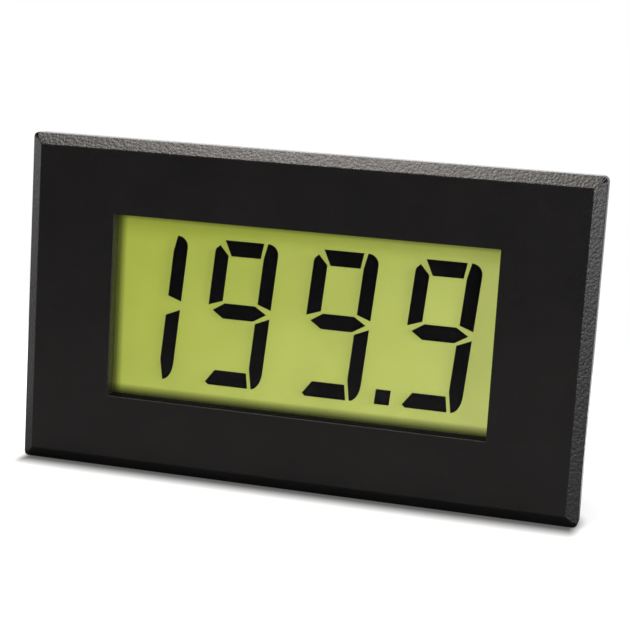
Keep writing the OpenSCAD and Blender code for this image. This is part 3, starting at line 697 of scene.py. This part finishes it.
class METER_OT_display(bpy.types.Operator):
    """Dress the display cell, its films and its bars"""

    bl_idname = "meter.display"
    bl_label = "Display"
    bl_options = {"REGISTER", "UNDO"}

    def execute(self, context):
        display = context.scene.meter_display
        dress("rear_polariser", glowing_film(display))
        front_film = clear_sheet("front_film_clear", display.film, index=1.22, rough=0.16)
        dress("front_polariser", front_film)
        glass = clear_sheet("cell_glass_clear", display.glass, index=1.05, rough=0.05)
        for node in ("front_glass", "rear_glass"):
            dress(node, glass)
        for node in ("front_polariser", "front_glass", "rear_glass"):
            NODES[node].visible_shadow = False
        ink = clouded(
            "bar_ink", display.ink,
            patch=1.2, change=0.3, rough=(0.5, 0.6), fine=0.2, depth=0.001, gloss=0.1,
        )
        dress("display_segments", ink)
        # painted shade: the seal is darkened where it shows under the bezel's edge
        epoxy = clouded(
            "seal_epoxy_painted_shade", display.seal,
            patch=2, change=0.1, rough=(0.4, 0.55), fine=0.2, depth=0.004,
        )
        dress("cell_seal", epoxy)
        return {"FINISHED"}


class METER_OT_backlight(bpy.types.Operator):
    """Dress the light guide, the reflector tray, the lamps and the contact strips"""

    bl_idname = "meter.backlight"
    bl_label = "Backlight"
    bl_options = {"REGISTER", "UNDO"}

    def execute(self, context):
        display = context.scene.meter_display
        board = context.scene.meter_board
        acrylic = clouded(
            "guide_acrylic_clear", display.guide,
            patch=4, change=0.05, rough=(0.1, 0.2), fine=0.3, depth=0.002,
        )
        acrylic.node_tree.nodes["Principled BSDF"].inputs["Transmission Weight"].default_value = 0.7
        dress("light_guide", acrylic)
        white = clouded(
            "tray_white_gloss", display.tray,
            patch=3, change=0.03, rough=(0.3, 0.45), fine=0.3, depth=0.004,
        )
        dress("reflector_tray", white)
        lens = clouded(
            "lamp_clear", display.lamp,
            patch=1, change=0.05, rough=(0.12, 0.2), fine=0.2, depth=0.002,
        )
        dress("backlight_lamps", lens)
        dress("lamp_leads", tinned(board))
        rubber = clouded(
            "contact_rubber_dark", display.rubber,
            patch=1, change=0.2, rough=(0.6, 0.75), fine=0.1, depth=0.005,
        )
        for node in ("upper_contact_strip", "lower_contact_strip"):
            dress(node, rubber)
        return {"FINISHED"}


def tinned(board):
    """Tin and solder, made once."""
    made = bpy.data.materials.get("tin_bright")
    return made or clouded(
        "tin_bright", board.solder,
        patch=1.5, change=0.1, rough=(0.2, 0.42), fine=0.25, depth=0.004, metal=1.0,
    )


class METER_OT_board(bpy.types.Operator):
    """Dress the circuit board and lay its tracks, pads, solder and printed outlines"""

    bl_idname = "meter.board"
    bl_label = "Circuit Board"
    bl_options = {"REGISTER", "UNDO"}

    def execute(self, context):
        board = context.scene.meter_board
        dress("circuit_board", laminate(board))
        self.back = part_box("circuit_board")[1].y
        self.add_tracks(board)
        self.add_solder(board)
        self.add_legend(board)
        return {"FINISHED"}

    def add_tracks(self, board):
        """Tracks from the chip to the resistors, from those to the pins, and to short vias."""
        work = bmesh.new()
        width, height = board.track_w, board.track_t
        beside = 5 * MM  # a lead further than this from the chip's middle is on another side of it
        row_top = -5 * MM  # the resistors below this stand in the row above the pins
        height_step, heights = 0.12, 5  # tracks that cross lie at heights of their own
        side_run, top_run, run_step = 1.1 * MM, 0.9 * MM, 0.5 * MM  # from a lead to its via

        def spots(node):
            return [(middle(box).x, middle(box).z) for box in solids(node)]

        def add_runs(starts, stops):
            for number, (start, stop) in enumerate(zip(starts, stops)):
                rise = height * (1 + height_step * (number % heights))
                path(work, elbow(start, stop), self.back, width, rise)

        def add_via(start, stop):
            path(work, [start, stop], self.back, width, height)
            centre = Vector((stop[0], self.back, stop[1]))
            disc(work, centre, board.via_r, board.via_r, 1.2 * height)

        leads, pins = spots("converter_leads"), spots("connector_pins")
        chip = middle(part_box("converter_chip"))
        low_leads = sorted(p for p in leads if p[1] < chip.z and abs(p[0] - chip.x) < beside)
        low_ends = sorted(p for p in spots("chip_resistor_ends") if p[1] < row_top)
        add_runs(low_leads, low_ends[1::2] * 2)
        add_runs(low_ends[::2], pins[1:])
        for sign in (-1, 1):
            side = [p for p in leads if (p[0] - chip.x) * sign > beside]
            for number, (x, z) in enumerate(sorted(side, key=lambda p: p[1])):
                add_via((x, z), (x + sign * (side_run + run_step * (number % 3)), z))
        top_side = sorted(p for p in leads if p[1] > chip.z + beside)
        for number, (x, z) in enumerate(top_side):
            add_via((x, z), (x, z + top_run + run_step * (number % 2)))
        finish = clouded(
            "track_green", board.track,
            patch=3, change=0.12, rough=(0.28, 0.4), fine=0.2, depth=0.002,
        )
        add_piece("board_tracks", work, finish, "meter")

    def add_solder(self, board):
        """A pad and solder at each chip lead, at each end of the small parts, and at the lamps."""
        work = bmesh.new()
        lead_rim = 0.45 * board.pad_rim  # narrow, so that the leads' pads stay apart
        lamp_pad = (0.75 * MM, 0.68 * MM, 0.04 * MM)  # radius at the foot, at the top, and height
        lamp_solder = (0.6 * MM, 0.2 * MM, 0.5 * MM)
        chip = middle(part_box("converter_chip"))
        for box in solids("converter_leads"):
            low, high = self.toe_of(box, chip, board.toe)
            self.add_fillet(work, board, low, high, lead_rim)
        for node in ("chip_resistor_ends", "chip_capacitor_ends"):
            for low, high in solids(node):
                self.add_fillet(work, board, low, high, board.pad_rim)
        for box in solids("lamp_leads"):
            at = middle(box)
            at.y = self.back
            disc(work, at, *lamp_pad)
            disc(work, at, *lamp_solder)
        for face in work.faces:
            face.smooth = True
        piece = add_piece("board_solder", work, tinned(board), "meter")
        rounding = piece.modifiers.new("rounded_edges", "BEVEL")
        rounding.width = 0.04 * MM
        rounding.segments = 1
        rounding.harden_normals = True

    def toe_of(self, box, chip, toe):
        """The end of a chip lead that lies on its pad, away from the chip."""
        low, high = box[0].copy(), box[1].copy()
        axis = 0 if high.x - low.x > high.z - low.z else 2
        if middle(box)[axis] > chip[axis]:
            low[axis] = high[axis] - toe
        else:
            high[axis] = low[axis] + toe
        return low, high

    def add_fillet(self, work, board, low, high, rim):
        """A pad under one lead or end, and the solder that narrows from it up to the lead."""
        margin = Vector((rim, 0, rim))
        foot, top = low - margin, high + margin
        foot.y, top.y = self.back, self.back + board.track_t
        slab(work, foot, top)
        foot.y, top.y = top.y, top.y + board.fillet_h
        corners = slab(work, foot, top)
        crown = [corner for corner in corners if corner.co.y > (foot.y + top.y) / 2]
        narrow = Matrix.Diagonal(
            ((high.x - low.x) / (top.x - foot.x), 1, (high.z - low.z) / (top.z - foot.z), 1)
        )
        at = middle((low, high))
        space = Matrix.Translation((-at.x, 0, -at.z))
        bmesh.ops.transform(work, matrix=narrow, space=space, verts=crown)

    def add_legend(self, board):
        """Printed outlines round the parts, and a dot beside the chip's first lead."""
        work = bmesh.new()
        margin = Vector((board.legend_gap, 0, board.legend_gap))
        ringed = ("film_capacitors", "trimmer_body", "chip_resistors", "chip_capacitors")
        rooms = [box for node in ringed for box in solids(node)]
        rooms += [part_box("connector_carrier"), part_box("link_carrier")]
        for low, high in rooms:
            outline(work, low - margin, high + margin, self.back, board.legend_w, board.legend_t)
        dot_r, dot_gap = 0.3 * MM, 0.9 * MM
        chip_low, chip_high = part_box("converter_chip")
        dot = Vector((chip_low.x - dot_gap, self.back, chip_high.z + dot_gap))
        disc(work, dot, dot_r, dot_r, board.legend_t)
        printed = clouded(
            "legend_white", board.legend,
            patch=1, change=0.06, rough=(0.5, 0.65), fine=0.1, depth=0.002,
        )
        add_piece("board_legend", work, printed, "meter")


class METER_OT_parts(bpy.types.Operator):
    """Dress the parts, pins and screws on the board"""

    bl_idname = "meter.parts"
    bl_label = "Parts on the Board"
    bl_options = {"REGISTER", "UNDO"}

    def execute(self, context):
        parts, board = context.scene.meter_parts, context.scene.meter_board
        edge = parts.small_edge
        tin = tinned(board)
        black = clouded(
            "chip_black_matt", parts.chip,
            patch=2, change=0.15, rough=(0.5, 0.68), fine=0.08, depth=0.006,
        )
        red = clouded(
            "case_red_satin", parts.film_capacitor,
            patch=2, change=0.1, rough=(0.32, 0.46), fine=0.3, depth=0.004, coat=0.15,
        )
        base = clouded(
            "base_black_satin", parts.carrier,
            patch=2, change=0.1, rough=(0.4, 0.55), fine=0.1, depth=0.004,
        )
        resistor = clouded(
            "resistor_black_glaze", parts.resistor,
            patch=1, change=0.2, rough=(0.2, 0.35), fine=0.1, depth=0.003,
        )
        tan = clouded(
            "ceramic_tan_fired", parts.ceramic,
            patch=0.6, change=0.1, rough=(0.45, 0.6), fine=0.08, depth=0.003,
        )
        blue = clouded(
            "trimmer_blue_satin", parts.trimmer,
            patch=2, change=0.1, rough=(0.35, 0.5), fine=0.15, depth=0.004,
        )
        white = clouded(
            "rotor_white_satin", parts.rotor,
            patch=1, change=0.05, rough=(0.35, 0.5), fine=0.15, depth=0.004,
        )
        strip_black = clouded(
            "carrier_black_satin", parts.carrier,
            patch=2, change=0.15, rough=(0.38, 0.55), fine=0.12, depth=0.005,
        )
        link = clouded(
            "link_blue_satin", parts.link,
            patch=2, change=0.12, rough=(0.35, 0.5), fine=0.12, depth=0.005,
        )
        gold = clouded(
            "pin_gold_plate", parts.gold,
            patch=1, change=0.08, rough=(0.16, 0.3), fine=0.15, depth=0.002, metal=1.0,
        )
        steel = clouded(
            "screw_zinc", parts.screw,
            patch=0.8, change=0.12, rough=(0.28, 0.42), fine=0.1, depth=0.003, metal=1.0,
        )
        rounded = {
            "converter_chip": ("converter_moulding", black, "chip_black"),
            "film_capacitors": ("film_capacitor_cases", red, "film_cap_case"),
            "supply_capacitor": ("supply_capacitor_can", striped_can(parts), "can_aluminium"),
            "supply_capacitor_base": ("supply_capacitor_foot", base, "base_black"),
            "chip_resistors": ("chip_resistor_bodies", resistor, "resistor_black"),
            "chip_capacitors": ("chip_capacitor_bodies", tan, "ceramic_tan"),
            "trimmer_body": ("trimmer_case", blue, "trimmer_blue"),
            "connector_carrier": ("connector_strip", strip_black, "carrier_black"),
            "link_carrier": ("link_strip", strip_black, "carrier_black"),
            "link_cap": ("link_cover", link, "link_blue"),
            "board_screws": ("screw_heads", steel, "screw_steel"),
        }
        for node, (name, finish, slot) in rounded.items():
            soften(node, finish, edge, "meter", name)
        soften("trimmer_rotor", white, edge, "rotor", "trimmer_screw")
        for node in (
            "converter_leads",
            "chip_resistor_ends",
            "chip_capacitor_ends",
            "film_capacitor_leads",
            "trimmer_pins",
        ):
            dress(node, tin)
        for node in ("connector_pins", "link_pins"):
            dress(node, gold)
        return {"FINISHED"}


class METER_OT_stage(bpy.types.Operator):
    """Set the camera, the lights, the floor and the backdrop"""

    bl_idname = "meter.stage"
    bl_label = "Stage"
    bl_options = {"REGISTER", "UNDO"}

    def execute(self, context):
        scene, stage = context.scene, context.scene.meter_stage
        scene.view_settings.view_transform = "Standard"
        self.add_camera(scene, stage)
        self.add_floor(stage)
        self.add_room(scene, stage)
        # each soft box's name, direction from the meter, size in metres and power
        for name, toward, size, power in (
            ("soft_box_above", (-0.27, -0.2, 0.95), (0.2, 0.13), stage.key),
            ("soft_box_right", (0.8, -0.58, 0.1), (0.16, 0.2), stage.right),
            ("soft_box_left", (-0.95, -0.2, 0.15), (0.16, 0.2), stage.left),
            ("soft_box_behind", (-0.3, 0.75, 0.6), (0.26, 0.2), stage.back),
        ):
            self.add_soft_box(name, toward, stage.far, size, power)
        bpy.data.lights["soft_box_above"].color = stage.warmth
        return {"FINISHED"}

    def add_camera(self, scene, stage):
        data = bpy.data.cameras.new("camera")
        data.sensor_width = 36.0
        data.lens = stage.lens
        data.clip_start = 0.01
        camera = bpy.data.objects.new("camera", data)
        scene.collection.objects.link(camera)
        level = math.cos(stage.elevation)
        turn_x, turn_y = math.sin(stage.azimuth), -math.cos(stage.azimuth)
        back = Vector((turn_x * level, turn_y * level, math.sin(stage.elevation)))
        aim = Vector((stage.aim_x, CAD_BOX[0].y, stage.aim_z))
        camera.location = aim + back * stage.distance
        camera.rotation_mode = "QUATERNION"
        upright = (-back).to_track_quat("-Z", "Y")
        camera.rotation_quaternion = upright @ Quaternion((0, 0, 1), -stage.roll)
        scene.camera = camera

    def add_floor(self, stage):
        work = bmesh.new()
        bmesh.ops.create_circle(
            work,
            cap_ends=True,
            segments=64,
            radius=stage.floor_r,
            matrix=Matrix.Translation((0, 0, CAD_BOX[0].z)),
        )
        mesh = bpy.data.meshes.new("floor")
        work.to_mesh(mesh)
        work.free()
        floor = bpy.data.objects.new("floor", mesh)
        bpy.context.scene.collection.objects.link(floor)
        mesh.materials.append(self.floor_finish(stage))

    def floor_finish(self, stage):
        """White paper: dark with painted shadow at the meter's foot, plain white further off, clear
        from below.
        """
        finish, tree, shader = new_finish("floor_white")
        rays = tree.nodes.new("ShaderNodeLightPath").outputs
        axes = axes_of(tree, object_point(tree))
        occlusion_shade, foot_shade = self.occlusion_shade(tree, stage), self.foot_shade(tree, axes, stage)
        lit = reckon(tree, "MULTIPLY", occlusion_shade, foot_shade)
        self.set_paper(tree, shader, rays, axes, lit)
        behind = spread(tree, axes["Y"], stage.room_front, 1, 0, FRONT_FADE, True)
        mirrored = reckon(tree, "MULTIPLY", self.mirror_rays(tree, rays), behind)
        shown = reckon(tree, "MAXIMUM", rays["Is Camera Ray"], mirrored)
        lift = reckon(tree, "MULTIPLY", reckon(tree, "MULTIPLY", shown, lit), stage.floor_lift)
        near = tree.nodes.new("ShaderNodeAddShader")
        tree.links.new(shader.outputs["BSDF"], near.inputs[0])
        tree.links.new(white_glow(tree, lift), near.inputs[1])
        reach = tree.nodes.new("ShaderNodeVectorMath")
        reach.operation = "LENGTH"
        tree.links.new(object_point(tree), reach.inputs[0])
        near_to, far_from = 0.06, 0.11  # past the second the paper is plain white
        far = spread(tree, reach.outputs["Value"], 0, 1, near_to, far_from, True)
        above = mix_shaders(tree, far, near.outputs["Shader"], white_glow(tree, shown))
        below = tree.nodes.new("ShaderNodeBsdfTransparent").outputs["BSDF"]
        side = tree.nodes.new("ShaderNodeNewGeometry").outputs["Backfacing"]
        surface = mix_shaders(tree, side, above, below)
        tree.links.new(surface, tree.nodes["Material Output"].inputs["Surface"])
        return finish

    def set_paper(self, tree, shader, rays, axes, lit):
        """The paper's own colour, dim for the camera and for what the meter's front mirrors."""
        before = spread(tree, axes["Y"], 1, 0, 0, FRONT_FADE, True)
        mirrored = reckon(tree, "MULTIPLY", rays["Is Glossy Ray"], before)
        seen = reckon(tree, "MULTIPLY", rays["Is Camera Ray"], 0.8)
        dimmed = reckon(tree, "MAXIMUM", mirrored, seen)
        white = paint(250, 250, 250)
        paper = blend_colours(tree, dimmed, white, shade(white, 0.15))
        tree.links.new(blend_colours(tree, lit, BLACK, paper), shader.inputs["Base Color"])
        shader.inputs["Roughness"].default_value = 0.9
        shader.inputs["Specular IOR Level"].default_value = 0.0

    def mirror_rays(self, tree, rays):
        """1 for a ray that a gloss or a clear sheet sends on, 0 for others."""
        return reckon(tree, "MAXIMUM", rays["Is Glossy Ray"], rays["Is Transmission Ray"])

    def occlusion_shade(self, tree, stage):
        """Painted shade on the floor: 1 in the open, a little less where the meter is close above.
        """
        nearby = tree.nodes.new("ShaderNodeAmbientOcclusion")
        nearby.samples = 16
        nearby.inputs["Distance"].default_value = 2 * stage.contact
        return spread(tree, nearby.outputs["AO"], 0.88, 1, start=0.45, stop=0.95)

    def foot_shade(self, tree, axes, stage):
        """0 at the bezel's foot, 1 past its contact shadow, which is shorter at the ends."""
        middle_y = CAD_BOX[0].y / 2
        ahead = reckon(tree, "ABSOLUTE", reckon(tree, "SUBTRACT", axes["Y"], middle_y))
        ahead = reckon(tree, "MAXIMUM", reckon(tree, "ADD", ahead, middle_y), 0.0)
        end = CAD_BOX[1].x - 0.35 * stage.contact_side  # the shadow thins before the meter's end
        aside = reckon(tree, "SUBTRACT", reckon(tree, "ABSOLUTE", axes["X"]), end)
        aside = reckon(tree, "MAXIMUM", aside, 0.0)
        aside = reckon(tree, "MULTIPLY", aside, stage.contact / stage.contact_side)
        squares = [reckon(tree, "MULTIPLY", value, value) for value in (ahead, aside)]
        reach = reckon(tree, "SQRT", reckon(tree, "ADD", *squares))
        start, stop = -0.24 * stage.contact, 0.84 * stage.contact
        return spread(tree, reach, 0, 1, start, stop, True)

    def add_room(self, scene, stage):
        """White all round for the camera, and a room that is white behind and dim in front."""
        scene.world = bpy.data.worlds.new("room")
        scene.world.use_nodes = True
        tree = scene.world.node_tree
        light = tree.nodes["Background"]
        light.inputs["Color"].default_value = (1, 1, 1, 1)
        rays = tree.nodes.new("ShaderNodeLightPath").outputs
        axes = axes_of(tree, tree.nodes.new("ShaderNodeTexCoord").outputs["Generated"])
        seen = spread(tree, axes["Y"], stage.room_front, 1, -0.5, 0.3, True)
        mirrored = self.mirror_rays(tree, rays)
        strength = reckon(tree, "MULTIPLY", mirrored, seen)
        plain = reckon(tree, "SUBTRACT", 1.0, mirrored)
        strength = reckon(tree, "ADD", strength, reckon(tree, "MULTIPLY", plain, stage.room))
        strength = reckon(tree, "MAXIMUM", strength, rays["Is Camera Ray"])
        tree.links.new(strength, light.inputs["Strength"])

    def add_soft_box(self, name, toward, far, size, power):
        data = bpy.data.lights.new(name, "AREA")
        data.shape = "RECTANGLE"
        data.size, data.size_y = size
        data.energy = power
        lamp = bpy.data.objects.new(name, data)
        bpy.context.scene.collection.objects.link(lamp)
        direction = Vector(toward).normalized()
        lamp.location = direction * far
        lamp.rotation_euler = direction.to_track_quat("Z", "Y").to_euler()


STEPS = (
    METER_OT_stage,
    METER_OT_case,
    METER_OT_display,
    METER_OT_backlight,
    METER_OT_board,
    METER_OT_parts,
)


class METER_PT_looks(bpy.types.Panel):
    """Settings and steps of the panel meter's looks"""

    bl_label = "Panel Meter"
    bl_idname = "METER_PT_looks"
    bl_space_type = "VIEW_3D"
    bl_region_type = "UI"
    bl_category = "Panel Meter"

    def draw(self, context):
        for step in STEPS:
            self.layout.operator(step.bl_idname)
        for name, group in GROUPS.items():
            box = self.layout.box()
            box.label(text=group.__doc__)
            for prop in group.__annotations__:
                box.prop(getattr(context.scene, name), prop)


CLASSES = (*GROUPS.values(), *STEPS, METER_PT_looks)


def register():
    for item in CLASSES:
        bpy.utils.register_class(item)
    for name, group in GROUPS.items():
        setattr(bpy.types.Scene, name, bpy.props.PointerProperty(type=group))


def unregister():
    for name in GROUPS:
        delattr(bpy.types.Scene, name)
    for item in reversed(CLASSES):
        bpy.utils.unregister_class(item)


def main():
    register()
    for step in STEPS:
        group, name = step.bl_idname.split(".")
        getattr(getattr(bpy.ops, group), name)()


if __name__ == "__main__":
    main()
